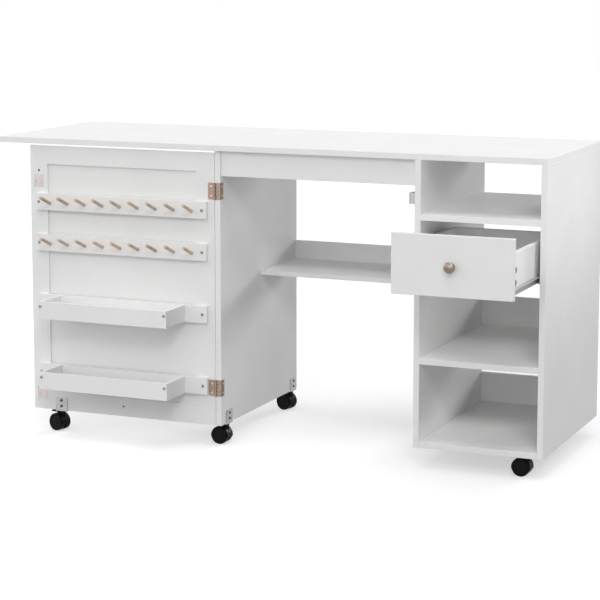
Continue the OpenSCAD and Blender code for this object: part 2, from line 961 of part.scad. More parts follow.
module door_screws() {
    color(zinc)
        at_door() {
            for (z = [peg_zs[0] + peg_rail_h / 2, peg_zs[1] + peg_rail_h / 2,
                tray_zs[0] + tray_h / 2, tray_zs[1] + tray_h / 2])
                for (x = rail_screw_xs)
                    screw_y([x, -door_rail_t, z], door_rail_t - fit);
            for (z = tray_zs)
                for (x = tray_screw_xs)
                    screw_y([x, tray_front_y, z + tray_h - tray_screw_drop], tray_t - fit);
        }
}

// An angle bracket: the upright lies on a panel's face at y = 0, the flange runs under the panel
module angle_bracket(panel_t) {
    difference() {
        union() {
            board([-bracket_w / 2, -bracket_t, -bracket_t], [bracket_w, bracket_t, bracket_h]);
            board([-bracket_w / 2, -bracket_t, -bracket_t],
                [bracket_w, panel_t + bracket_t, bracket_t]);
        }
        stem_bore(panel_t / 2, -bracket_t);
    }
    for (z = bracket_screw_zs)
        screw_y([0, -bracket_t, z], bracket_t - fit);
}

module stem_bore(y, z) {
    bar_z([0, y, z - over], stem_r + run_clear, bracket_t + 2 * over);
}

module door_caster_bracket() {
    color(zinc)
        at_door()
            translate([door_caster_at[0], 0, door_bottom])
                angle_bracket(door_t);
}

module leg_caster_brackets() {
    color(zinc)
        placed()
            for (at = [leg_front_at, leg_rear_at])
                translate([leg_right_x, at[1], leg_bottom])
                    rotate([0, 0, 90])
                        angle_bracket(board_t);
}

module cabinet_caster_plates() {
    color(black)
        placed()
            for (at = [cabinet_front_at, cabinet_rear_at])
                translate([at[0], at[1], plate_z])
                    difference() {
                        board([-caster_plate_w / 2, -caster_plate_w / 2, 0],
                            [caster_plate_w, caster_plate_w, bracket_t]);
                        stem_bore(0, 0);
                    }
}

// Drawer boards
module drawer_front() {
    color(grey_white)
        placed()
            difference() {
                board([drawer_left, drawer_y, drawer_bottom],
                    [drawer_right - drawer_left, board_t, drawer_front_h]);
                drawer_bottom_slot();
            }
}

module drawer_bottom_slot() {
    board([inner_left - drawer_groove, side_y - drawer_groove, panel_z - fit / 2],
        [inner_right - inner_left + 2 * drawer_groove, drawer_len + drawer_groove - drawer_side_t / 2,
            drawer_bottom_t + fit]);
}

module drawer_side(x, cam_x) {
    color(grey_white)
        placed()
            difference() {
                board([x, side_y, side_z], [drawer_side_t, drawer_len, drawer_side_h]);
                drawer_bottom_slot();
                drawer_cams(cam_x, cam_clear);
            }
}

module drawer_cams(x, clear) {
    for (z = [side_top - drawer_cam_upper, side_z + drawer_cam_lower])
        bar_x([x, side_y + drawer_cam_inset, z], cam_d / 2 + clear, drawer_cam_depth + clear);
}

module drawer_left_side() {
    drawer_side(side_left, side_left - cam_clear);
}

module drawer_right_side() {
    drawer_side(inner_right, side_right - drawer_cam_depth);
}

module drawer_cam_locks() {
    color(black)
        placed() {
            drawer_cams(side_left, 0);
            drawer_cams(side_right - drawer_cam_depth, 0);
        }
}

module drawer_back() {
    color(grey_white)
        placed()
            difference() {
                board([inner_left, side_y + drawer_len - drawer_side_t, side_z],
                    [inner_right - inner_left, drawer_side_t, drawer_side_h]);
                drawer_bottom_slot();
            }
}

module drawer_bottom() {
    tongue = drawer_groove - panel_slack;
    color(grey_white)
        placed()
            board([inner_left - tongue, side_y - tongue, panel_z],
                [inner_right - inner_left + 2 * tongue,
                    drawer_len - drawer_side_t / 2 + tongue - panel_slack, drawer_bottom_t]);
}

// A turned knob: foot, neck and a domed head
module drawer_knob() {
    head_r = knob_d / 2;
    brim_y = knob_reach - knob_dome_h - knob_brim_h;
    dome = [for (a = [0 : 10 : 90]) [head_r * cos(a), knob_reach - knob_dome_h * (1 - sin(a))]];
    color(rose_brown)
        placed()
            translate([(drawer_left + drawer_right) / 2, drawer_y, (drawer_top + drawer_bottom) / 2])
                rotate([90, 0, 0])
                    rotate_extrude()
                        polygon(concat(
                            [[0, 0], [knob_foot_d / 2, 0], [knob_foot_d / 2, knob_foot_h],
                                [knob_neck_d / 2, 2 * knob_foot_h], [knob_neck_d / 2, brim_y - knob_foot_h],
                                [head_r - knob_foot_h, brim_y]],
                            dome));
}

// Slides: a channel on the cabinet side, and an angle with a lip under the drawer side.
// Both are drawn for the left side with the cabinet face at x = 0, and mirrored for the right.
module both_slides() {
    translate([cabinet_in_left, 0, 0])
        children();
    translate([cabinet_in_right, 0, 0])
        mirror([1, 0, 0])
            children();
}

module slide_rail() {
    reach = slide_space - slide_t - gap;
    board([0, slide_rail_y, slide_rail_z], [slide_t, slide_len, slide_rail_h]);
    board([0, slide_rail_y, slide_rail_z], [reach, slide_len, slide_t]);
    board([0, slide_rail_y, slide_rail_z + slide_rail_h - slide_t], [reach, slide_len, slide_t]);
    bar_x([0, front_roller_y, front_roller_z], roller_pin_r, roller_x + roller_w);
}

module cabinet_slide_rails() {
    color(grey_white)
        placed()
            both_slides()
                slide_rail();
}

module slide_roller(y, z, x) {
    translate([x, y, z])
        rotate([0, 90, 0])
            difference() {
                cylinder(r = roller_r, h = roller_w);
                translate([0, 0, -over])
                    cylinder(r = roller_pin_r + run_clear, h = roller_w + 2 * over);
            }
}

module cabinet_slide_rollers() {
    color(grey_white)
        placed()
            both_slides()
                slide_roller(front_roller_y, front_roller_z, roller_x);
}

module drawer_runner() {
    wall_x = slide_space - slide_t;
    board([wall_x, side_y, side_z - slide_t], [slide_t, drawer_len, runner_h + slide_t]);
    board([wall_x, side_y, side_z - slide_t], [drawer_side_t, drawer_len, slide_t]);
    board([slide_t + gap, side_y, lip_z], [wall_x - slide_t - gap, drawer_len, slide_t]);
    bar_x([wall_x - roller_w - gap, rear_roller_y, rear_roller_z], roller_pin_r,
        roller_w + gap + slide_t);
}

module drawer_runners() {
    color(grey_white)
        placed()
            both_slides()
                drawer_runner();
}

module drawer_runner_rollers() {
    color(grey_white)
        placed()
            both_slides()
                slide_roller(rear_roller_y, rear_roller_z, slide_space - slide_t - roller_w - gap);
}

// Twin-wheel casters, drawn with the stem at the origin and the wheels trailing along -X
module caster_housing(top_z) {
    boss_top = top_z - gap;
    stem_top = top_z + bracket_t - gap;
    difference() {
        union() {
            bar_y([-caster_trail, -hood_w / 2, axle_z], hood_r, hood_w);
            bar_z([0, 0, axle_z], boss_r, boss_top - axle_z);
            bar_z([0, 0, axle_z], stem_r, stem_top - axle_z);
        }
        for (side = [0, 1])
            mirror([0, side, 0])
                bar_y([-caster_trail, web_t / 2, axle_z], wheel_r + fender_gap, hood_w);
        board([-caster_trail - 2 * hood_r, -hood_w, hood_cut_z - 2 * hood_r],
            [4 * hood_r, 2 * hood_w, 2 * hood_r]);
        bar_y([-caster_trail, -hood_w, axle_z], axle_r + run_clear, 2 * hood_w);
    }
}

// Two ears on the hood with a bore for the brake pivot
module brake_ears() {
    difference() {
        for (side = [0, 1])
            mirror([0, side, 0])
                hull() {
                    bar_y([pivot_u, brake_w / 2 + gap, pivot_z], barrel_r, ear_t);
                    board([pivot_u - ear_half, brake_w / 2 + gap, ear_foot_z],
                        [2 * ear_half, ear_t, fender_t / 2]);
                }
        bar_y([pivot_u, -brake_w, pivot_z], pivot_r + run_clear, 2 * brake_w);
    }
}

// One wheel: a tread with eased edges, a dished outer face and a round hub cap
module wheel() {
    ease = 1.2;
    dish = 1.6;
    dish_slope = 1.4;
    rim = 4.6;
    hub_r = 7.2;
    hub_sink = 0.4;
    rotate_extrude()
        polygon([
            [0, 0],
            [wheel_r - ease, 0],
            [wheel_r, ease],
            [wheel_r, wheel_w - 2 * ease],
            [wheel_r - ease / 2, wheel_w - ease / 2],
            [wheel_r - 2 * ease, wheel_w],
            [wheel_r - rim, wheel_w],
            [wheel_r - rim - dish_slope, wheel_w - dish],
            [hub_r + dish_slope / 2, wheel_w - dish],
            [hub_r, wheel_w - hub_sink],
            [0, wheel_w - hub_sink]
        ]);
}

module caster_wheels() {
    inner = web_t / 2 + gap;
    translate([-caster_trail, 0, axle_z]) {
        for (side = [0, 1])
            mirror([0, side, 0])
                translate([0, inner, 0])
                    rotate([-90, 0, 0])
                        wheel();
        bar_y([0, -inner - over, 0], axle_r, 2 * (inner + over));
    }
}

// Brake lever: a barrel on a pin, a flat arm and an upturned toe
module brake_lever() {
    tip = [pivot_u - brake_len, -brake_w / 2, pivot_z - lever_t / 2];
    bar_y([pivot_u, -brake_w / 2, pivot_z], barrel_r, brake_w);
    bar_y([pivot_u, -brake_w / 2 - gap - ear_t, pivot_z], pivot_r, brake_w + 2 * (gap + ear_t));
    board(tip, [brake_len, brake_w, lever_t]);
    board(tip, [lever_toe, brake_w, lever_t / 2 + barrel_r]);
}

module at_caster(at) {
    color(black)
        placed()
            translate([at[0], at[1], 0])
                rotate([0, 0, at[3]])
                    children();
}

module door_caster_housing() {
    at_caster(door_caster_at) {
        caster_housing(door_caster_at[2]);
        brake_ears();
    }
}

module door_caster_wheels() {
    at_caster(door_caster_at)
        caster_wheels();
}

module door_caster_brake() {
    at_caster(door_caster_at)
        brake_lever();
}

module leg_front_caster_housing() {
    at_caster(leg_front_at) {
        caster_housing(leg_front_at[2]);
        brake_ears();
    }
}

module leg_front_caster_wheels() {
    at_caster(leg_front_at)
        caster_wheels();
}

module leg_front_caster_brake() {
    at_caster(leg_front_at)
        brake_lever();
}

module leg_rear_caster_housing() {
    at_caster(leg_rear_at)
        caster_housing(leg_rear_at[2]);
}

module leg_rear_caster_wheels() {
    at_caster(leg_rear_at)
        caster_wheels();
}

module cabinet_front_caster_housing() {
    at_caster(cabinet_front_at) {
        caster_housing(cabinet_front_at[2]);
        brake_ears();
    }
}

module cabinet_front_caster_wheels() {
    at_caster(cabinet_front_at)
        caster_wheels();
}

module cabinet_front_caster_brake() {
    at_caster(cabinet_front_at)
        brake_lever();
}

module cabinet_rear_caster_housing() {
    at_caster(cabinet_rear_at)
        caster_housing(cabinet_rear_at[2]);
}

module cabinet_rear_caster_wheels() {
    at_caster(cabinet_rear_at)
        caster_wheels();
}

tabletop();
leg_panel();
apron();
knee_shelf();
knee_back_rail();
cabinet_left_panel();
cabinet_right_panel();
upper_shelf();
lower_shelf();
bottom_board();
middle_back_rail();
lower_back_rail();
cam_locks();
leaf_hinge_plates();
door_hinge_wraps();
door_hinge_pins();
magnetic_catch();
cabinet_slide_rails();
cabinet_slide_rollers();
leg_caster_brackets();
cabinet_caster_plates();
drop_leaf();
leaf_hinge_flaps();
door_stiles();
door_rails();
door_panel();
upper_peg_rail();
lower_peg_rail();
upper_pegs();
lower_pegs();
tray_rails();
tray_fronts();
tray_ends();
tray_bottoms();
door_hinge_leaves();
strike_plates();
door_screws();
door_caster_bracket();
drawer_front();
drawer_left_side();
drawer_right_side();
drawer_back();
drawer_bottom();
drawer_knob();
drawer_runners();
drawer_runner_rollers();
drawer_cam_locks();
door_caster_housing();
door_caster_wheels();
door_caster_brake();
leg_front_caster_housing();
leg_front_caster_wheels();
leg_front_caster_brake();
leg_rear_caster_housing();
leg_rear_caster_wheels();
cabinet_front_caster_housing();
cabinet_front_caster_wheels();
cabinet_front_caster_brake();
cabinet_rear_caster_housing();
cabinet_rear_caster_wheels();
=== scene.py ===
import math

import bmesh
import bpy
from mathutils import Matrix, Vector


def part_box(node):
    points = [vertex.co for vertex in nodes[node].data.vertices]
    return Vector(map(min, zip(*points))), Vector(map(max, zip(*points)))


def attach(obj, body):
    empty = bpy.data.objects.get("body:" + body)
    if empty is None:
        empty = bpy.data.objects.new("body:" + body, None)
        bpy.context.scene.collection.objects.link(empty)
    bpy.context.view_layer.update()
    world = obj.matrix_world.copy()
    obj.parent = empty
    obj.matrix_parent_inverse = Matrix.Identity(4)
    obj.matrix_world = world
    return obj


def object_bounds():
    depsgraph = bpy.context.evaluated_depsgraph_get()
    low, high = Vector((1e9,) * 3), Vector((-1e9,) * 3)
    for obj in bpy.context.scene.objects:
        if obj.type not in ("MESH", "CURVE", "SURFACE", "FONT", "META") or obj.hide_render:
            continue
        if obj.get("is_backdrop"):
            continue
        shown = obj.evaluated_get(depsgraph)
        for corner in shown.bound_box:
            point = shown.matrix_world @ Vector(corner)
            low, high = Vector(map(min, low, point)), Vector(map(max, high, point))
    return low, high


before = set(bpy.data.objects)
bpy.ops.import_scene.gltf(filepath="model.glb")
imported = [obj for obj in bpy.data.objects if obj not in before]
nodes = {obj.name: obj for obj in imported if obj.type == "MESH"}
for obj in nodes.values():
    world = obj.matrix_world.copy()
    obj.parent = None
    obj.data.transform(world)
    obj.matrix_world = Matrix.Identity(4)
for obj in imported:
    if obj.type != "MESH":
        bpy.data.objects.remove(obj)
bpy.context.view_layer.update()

# Node groups by material; the boards are also grouped by the batch of laminate. The drawer sides
# get a lighter copy of it, as painted light for their lit faces
BOARDS = {
    "table": ["tabletop", "drop_leaf", "leg_panel", "apron", "knee_shelf", "knee_back_rail",
              "cabinet_left_panel", "cabinet_right_panel", "upper_shelf", "lower_shelf",
              "bottom_board", "middle_back_rail", "lower_back_rail"],
    "door": ["door_stiles", "door_rails", "door_panel", "upper_peg_rail", "lower_peg_rail",
             "tray_rails", "tray_fronts", "tray_ends", "tray_bottoms"],
    "drawer": ["drawer_front", "drawer_back", "drawer_bottom"],
    "side": ["drawer_left_side", "drawer_right_side"],
}
HINGES = ["door_hinge_leaves", "door_hinge_pins"]
ZINC = ["leaf_hinge_plates", "leaf_hinge_flaps", "cam_locks"]
SLIDES = ["cabinet_slide_rails", "drawer_runners"]
ROLLERS = ["cabinet_slide_rollers", "drawer_runner_rollers"]
PEGS = ["upper_pegs", "lower_pegs"]
CASTERS = ["door_caster", "leg_front_caster", "leg_rear_caster", "cabinet_front_caster",
           "cabinet_rear_caster"]
HOUSINGS = [c + "_housing" for c in CASTERS]
BRAKES = [n for n in nodes if n.endswith("_caster_brake")]

# Sizes of the CAD that the materials and the screws go by, in metres
WHEEL_R = 0.022
WING_T = 0.0013
HEAD_H = 0.002
HINGE_H = 0.0415
HINGE_PLATE_T = 0.0012
STRIKE_H = 0.032
PEG_TILT = math.radians(68)
CASTER_TURNS = {"door_caster": -14, "leg_rear_caster": -14}  # degrees about the stem


# Material building blocks

def new_material(name):
    mat = bpy.data.materials.new(name)
    mat.use_nodes = True
    return mat, mat.node_tree, mat.node_tree.nodes["Principled BSDF"]


def add(tree, kind, **settings):
    node = tree.nodes.new(kind)
    for key, value in settings.items():
        setattr(node, key, value)
    return node


def link(tree, out, socket):
    tree.links.new(out, socket)


# A socket takes a number, a colour or another node's output
def feed(tree, socket, value):
    if isinstance(value, (int, float)):
        socket.default_value = value
    elif isinstance(value, tuple):
        socket.default_value = (*value, 1)
    else:
        link(tree, value, socket)


def coat(tree, bsdf, colour, roughness):
    link(tree, colour, bsdf.inputs["Base Color"])
    link(tree, roughness, bsdf.inputs["Roughness"])


def grey(level):
    return (level, level, level)


def object_coords(tree, scale=(1, 1, 1), rotation=(0, 0, 0), location=(0, 0, 0)):
    coords = add(tree, "ShaderNodeTexCoord")
    mapping = add(tree, "ShaderNodeMapping")
    mapping.inputs["Scale"].default_value = scale
    mapping.inputs["Rotation"].default_value = rotation
    mapping.inputs["Location"].default_value = location
    link(tree, coords.outputs["Object"], mapping.inputs["Vector"])
    return mapping.outputs["Vector"]


def noise(tree, vector, scale, detail=3.0, roughness=0.55):
    tex = add(tree, "ShaderNodeTexNoise")
    tex.inputs["Scale"].default_value = scale
    tex.inputs["Detail"].default_value = detail
    tex.inputs["Roughness"].default_value = roughness
    link(tree, vector, tex.inputs["Vector"])
    return tex.outputs["Fac"]


def ramp(tree, value, stops):
    node = add(tree, "ShaderNodeValToRGB")
    elements = node.color_ramp.elements
    while len(elements) < len(stops):
        elements.new(0.5)
    for element, (place, colour) in zip(elements, stops):
        element.position = place
        element.color = (*colour, 1)
    link(tree, value, node.inputs["Fac"])
    return node.outputs["Color"]


def spread(tree, value, low, high, from_low=0.3, from_high=0.7):
    node = add(tree, "ShaderNodeMapRange")
    node.inputs["From Min"].default_value = from_low
    node.inputs["From Max"].default_value = from_high
    node.inputs["To Min"].default_value = low
    node.inputs["To Max"].default_value = high
    link(tree, value, node.inputs["Value"])
    return node.outputs["Result"]


def mix_colours(tree, factor, first, second, blend="MIX"):
    node = add(tree, "ShaderNodeMix", data_type="RGBA", blend_type=blend)
    for key, value in (("Factor", factor), ("A", first), ("B", second)):
        feed(tree, node.inputs[key], value)
    return node.outputs["Result"]


def math_node(tree, operation, *values):
    node = add(tree, "ShaderNodeMath", operation=operation)
    for socket, value in zip(node.inputs, values):
        feed(tree, socket, value)
    return node.outputs["Value"]


# One where a place lies past a plane across an axis, else zero
def past(tree, place, axis, plane, operation="GREATER_THAN"):
    parts = add(tree, "ShaderNodeSeparateXYZ")
    link(tree, place, parts.inputs["Vector"])
    return math_node(tree, operation, parts.outputs[axis], plane)


def bump(tree, bsdf, height, distance, strength):
    node = add(tree, "ShaderNodeBump")
    node.inputs["Distance"].default_value = distance
    node.inputs["Strength"].default_value = strength
    link(tree, height, node.inputs["Height"])
    link(tree, node.outputs["Normal"], bsdf.inputs["Normal"])


# White laminate: satin, with a faint orange peel and a hardly visible mottle
def laminate(name, low, high, seed):
    mat, tree, bsdf = new_material(name)
    place = object_coords(tree, location=(seed, seed * 0.7, seed * 0.3))
    mottle = noise(tree, place, scale=9.0, detail=4.0)
    handled = noise(tree, place, scale=34.0, detail=5.0)
    coat(tree, bsdf, ramp(tree, mottle, [(0.32, low), (0.68, high)]),
         spread(tree, handled, low=0.40, high=0.52))
    peel = noise(tree, place, scale=620.0, detail=2.0)
    bump(tree, bsdf, peel, distance=0.00004, strength=0.5)
    bsdf.inputs["Specular IOR Level"].default_value = 0.20
    return mat


# Metal with a directional brush and small blotches. The painted shade is an axis, a plane across
# it
# and the tint of what lies past the plane: that side is painted darker, as painted shade.
def metal(name, dark, bright, rough, brush_scale, metallic=1.0, blotch=60.0, painted_shade=None):
    mat, tree, bsdf = new_material(name)
    place = object_coords(tree)
    blotches = noise(tree, place, scale=blotch, detail=4.0)
    colour = ramp(tree, blotches, [(0.3, dark), (0.7, bright)])
    if painted_shade:
        axis, plane, tint = painted_shade
        painted_shade_colour = mix_colours(tree, 1.0, colour, tint, "MULTIPLY")
        colour = mix_colours(tree, past(tree, place, axis, plane), colour, painted_shade_colour)
    brush = noise(tree, object_coords(tree, scale=brush_scale), scale=1.0, detail=4.0)
    coat(tree, bsdf, colour, spread(tree, brush, low=rough - 0.06, high=rough + 0.08))
    bump(tree, bsdf, brush, distance=0.00002, strength=0.6)
    bsdf.inputs["Metallic"].default_value = metallic
    return mat


# Bright zinc with faint crystals; heads that stand out past a plane across an axis are painted
# darker, as painted shade and reflection on them
def zinc_plate(name, axis=None, plane=0.0, operation="GREATER_THAN"):
    mat, tree, bsdf = new_material(name)
    place = object_coords(tree)
    crystal = add(tree, "ShaderNodeTexVoronoi", feature="F1")
    crystal.inputs["Scale"].default_value = 420.0
    link(tree, place, crystal.inputs["Vector"])
    tint = add(tree, "ShaderNodeRGBToBW")
    link(tree, crystal.outputs["Color"], tint.inputs["Color"])
    facet = tint.outputs["Val"]
    plate = ramp(tree, facet, [(0.1, (0.29, 0.30, 0.29)), (0.9, (0.45, 0.46, 0.45))])
    # Painted shade and reflection: the screw heads past the plane get a dark mottled colour
    if axis:
        head_mottle = noise(tree, place, scale=500.0, detail=3.0)
        painted_dark_heads = ramp(tree, head_mottle, [(0.35, grey(0.06)), (0.65, grey(0.14))])
        plate = mix_colours(tree, past(tree, place, axis, plane, operation), plate, painted_dark_heads)
    coat(tree, bsdf, plate,
         spread(tree, facet, low=0.26, high=0.40, from_low=0.1, from_high=0.9))
    bump(tree, bsdf, noise(tree, place, scale=900.0), distance=0.00002, strength=0.5)
    bsdf.inputs["Metallic"].default_value = 1.0
    return mat


# Beech, with its grain along the tilted pegs and a shade of its own for each peg
def beech():
    mat, tree, bsdf = new_material("beech")
    along = object_coords(tree, rotation=(-PEG_TILT, 0, 0))
    stretch = add(tree, "ShaderNodeVectorMath", operation="MULTIPLY")
    stretch.inputs[1].default_value = (1.0, 1.0, 0.06)
    link(tree, along, stretch.inputs[0])
    fibre = noise(tree, stretch.outputs["Vector"], scale=700.0, detail=5.0, roughness=0.6)
    grain = ramp(tree, fibre, [(0.30, (0.46, 0.335, 0.23)), (0.50, (0.65, 0.495, 0.36)),
                               (0.72, (0.80, 0.65, 0.50))])
    each = noise(tree, object_coords(tree, scale=(1.0, 0.2, 0.2)), scale=26.0, detail=0.0)
    shade = ramp(tree, each, [(0.3, (0.80, 0.78, 0.76)), (0.7, grey(1.0))])
    coat(tree, bsdf, mix_colours(tree, 1.0, grain, shade, "MULTIPLY"),
         spread(tree, fibre, low=0.44, high=0.32))
    bump(tree, bsdf, fibre, distance=0.00008, strength=0.6)
    return mat


# Moulded nylon or sprayed enamel, with a fine grain
def nylon(name, low, high, rough, grain=1400.0, gloss=0.5):
    mat, tree, bsdf = new_material(name)
    place = object_coords(tree)
    cloud = noise(tree, place, scale=55.0, detail=4.0)
    fine = noise(tree, place, scale=grain, detail=2.0)
    coat(tree, bsdf, ramp(tree, cloud, [(0.3, low), (0.7, high)]),
         spread(tree, fine, low=rough - 0.05, high=rough + 0.07))
    bump(tree, bsdf, fine, distance=0.00003, strength=0.5)
    bsdf.inputs["Specular IOR Level"].default_value = gloss
    return mat


# Caster wheel: a dark grey hub disc inside a black tyre, told apart by the radius about the axle
def wheel_nylon(name, axle, turn):
    mat, tree, bsdf = new_material(name)
    place = object_coords(tree)
    local = add(tree, "ShaderNodeMapping", vector_type="TEXTURE")
    local.inputs["Location"].default_value = axle
    local.inputs["Rotation"].default_value = (0, 0, turn)
    link(tree, place, local.inputs["Vector"])
    parts = add(tree, "ShaderNodeSeparateXYZ")
    link(tree, local.outputs["Vector"], parts.inputs["Vector"])
    squares = [math_node(tree, "MULTIPLY", parts.outputs[a], parts.outputs[a])
               for a in ("X", "Z")]
    radius = math_node(tree, "SQRT", math_node(tree, "ADD", *squares))
    share = spread(tree, radius, low=0.0, high=1.0, from_low=0.0, from_high=WHEEL_R)
    disc = ramp(tree, share, [(0.0, (0.0085, 0.0083, 0.0072)), (0.76, (0.0065, 0.0063, 0.0055)),
                              (0.80, (0.002, 0.002, 0.0018)), (1.0, (0.0035, 0.0034, 0.003))])
    cloud = noise(tree, place, scale=90.0, detail=4.0)
    shade = ramp(tree, cloud, [(0.3, grey(0.75)), (0.7, grey(1.0))])
    fine = noise(tree, place, scale=1400.0, detail=2.0)
    coat(tree, bsdf, mix_colours(tree, 1.0, disc, shade, "MULTIPLY"),
         spread(tree, fine, low=0.36, high=0.50))
    bump(tree, bsdf, fine, distance=0.00003, strength=0.5)
    bsdf.inputs["Specular IOR Level"].default_value = 0.08
    return mat


WHITES = {
    "table": laminate("white_laminate_table", (0.845, 0.845, 0.842), (0.872, 0.872, 0.868), 0.0),
    "door": laminate("white_laminate_door", (0.835, 0.837, 0.835), (0.862, 0.862, 0.859), 3.1),
    "drawer": laminate("white_laminate_drawer", (0.840, 0.840, 0.838), (0.868, 0.867, 0.863),
                       7.7),
    # Painted light: the same white laminate made lighter for the drawer sides
    "side": laminate("white_laminate_drawer_sides_painted_light", (0.915, 0.915, 0.913), (0.940, 0.940, 0.937),
                     5.3),
}
ANTIQUE = {"dark": (0.215, 0.150, 0.117), "bright": (0.42, 0.318, 0.262), "rough": 0.40,
           "brush_scale": (900, 900, 60), "metallic": 0.9, "blotch": 240.0}
hinge_metal = metal("antique_hinge_metal", **ANTIQUE)
# Painted shade: the wing on the leg panel's side face is painted darker than the rest of the
# hinge
wing_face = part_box("door_hinge_wraps")[1].x - WING_T
wing_metal = metal("antique_wing_metal_painted_shade", **ANTIQUE, painted_shade=("X", wing_face, (0.56, 0.54, 0.52)))
# Painted highlight: the hinge screws are much lighter than the antique hinge metal
hinge_screw_metal_painted_highlight = metal("hinge_screw_metal_painted_highlight", (0.62, 0.50, 0.42), (0.78, 0.66, 0.57), 0.30,
                          (600, 600, 600), blotch=500.0)
knob_metal = metal("knob_metal", (0.198, 0.158, 0.129), (0.262, 0.217, 0.180), 0.20,
                   (500, 40, 500))
strike_metal = metal("strike_metal", (0.455, 0.408, 0.398), (0.54, 0.49, 0.48), 0.42,
                     (700, 700, 40), metallic=0.85)
slide_enamel = nylon("slide_enamel", (0.33, 0.33, 0.325), (0.40, 0.40, 0.392), 0.35, grain=800.0)
roller_nylon = nylon("roller_nylon", (0.76, 0.76, 0.74), (0.82, 0.82, 0.80), 0.45)
black_nylon = nylon("black_nylon", (0.0035, 0.0035, 0.0032), (0.006, 0.006, 0.0055), 0.48,
                    gloss=0.07)
black_steel = metal("black_steel", grey(0.010), grey(0.018), 0.42, (300, 300, 60), metallic=0.0)
grey_zinc = metal("grey_zinc", grey(0.21), (0.33, 0.33, 0.328), 0.40, (400, 400, 400),
                  metallic=0.9, blotch=400.0)
catch_steel = metal("catch_steel", grey(0.34), (0.44, 0.44, 0.435), 0.42, (60, 400, 400),
                    metallic=0.9, blotch=200.0)
dark_zinc = metal("dark_zinc", grey(0.018), (0.05, 0.05, 0.049), 0.50, (400, 400, 400),
                  metallic=0.5, blotch=500.0)
zinc = zinc_plate("zinc_steel")
door_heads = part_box("door_caster_bracket")[0].y + HEAD_H
door_zinc = zinc_plate("zinc_steel_door_bracket", "Y", door_heads, "LESS_THAN")
leg_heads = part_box("leg_caster_brackets")[1].x - HEAD_H
leg_zinc = zinc_plate("zinc_steel_leg_brackets", "X", leg_heads)


def paint(names, mat):
    for name in names:
        mesh = nodes[name].data
        mesh.materials.clear()
        mesh.materials.append(mat)


for batch, boards in BOARDS.items():
    paint(boards, WHITES[batch])
PAINTS = [
    (HINGES, hinge_metal), (["door_hinge_wraps"], wing_metal), (["drawer_knob"], knob_metal),
    (["strike_plates"], strike_metal), (ZINC, zinc), (["door_caster_bracket"], door_zinc),
    (["leg_caster_brackets"], leg_zinc), (["door_screws"], grey_zinc),
    (["magnetic_catch"], catch_steel), (SLIDES, slide_enamel), (ROLLERS, roller_nylon),
    (PEGS, beech()), (HOUSINGS + BRAKES, black_nylon), (["cabinet_caster_plates"], black_steel),
    (["drawer_cam_locks"], dark_zinc),
]
for names, mat in PAINTS:
    paint(names, mat)
for caster in CASTERS:
    low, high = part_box(caster + "_wheels")
    caster_turn = math.radians(CASTER_TURNS.get(caster, 0))
    paint([caster + "_wheels"],
          wheel_nylon(caster + "_wheel_nylon", (low + high) / 2, caster_turn))


# Soft edges on the CAD meshes
def soften(name, width):
    obj = nodes[name]
    for polygon in obj.data.polygons:
        polygon.use_smooth = True
    weld = obj.modifiers.new("weld", "WELD")
    weld.merge_threshold = 0.000002
    planes = obj.modifiers.new("planes", "DECIMATE")
    planes.decimate_type = "DISSOLVE"
    planes.angle_limit = math.radians(0.5)
    bevel = obj.modifiers.new("edges", "BEVEL")
    bevel.width = width
    bevel.segments = 2
    bevel.limit_method = "ANGLE"
    bevel.angle_limit = math.radians(40)
    bevel.harden_normals = True
    normals = obj.modifiers.new("normals", "WEIGHTED_NORMAL")
    normals.keep_sharp = False


# Widths of the soft edges, in metres
BOARD_EDGE = 0.0007
FITTING_EDGE = 0.0003
EDGE = {"door_hinge_leaves": 0.00012, "door_hinge_wraps": 0.00012, "strike_plates": 0.0002,
        "door_screws": 0.0001, "cabinet_slide_rails": 0.0002, "drawer_runners": 0.0002,
        "cam_locks": 0.0001, "tray_fronts": 0.0013, "tray_ends": 0.0012, "drawer_front": 0.0012}
board_names = sum(BOARDS.values(), [])
for name in nodes:
    soften(name, EDGE.get(name, BOARD_EDGE if name in board_names else FITTING_EDGE))

# Small screw heads: the radius and the height of each kind
HINGE_HEAD = (0.0023, 0.0005)
STRIKE_HEAD = (0.0026, 0.0006)
STILE_HEAD = (0.0030, 0.0005)
RAIL_HEAD = (0.0025, 0.0005)
HEAD_RINGS = 10
HEAD_TURNS = 48
RECESS_LENGTH = 0.55  # of the radius, as the next two
RECESS_WIDTH = 0.11
DISH_RADIUS = 0.75
RECESS_LEVEL = 0.25  # of the height


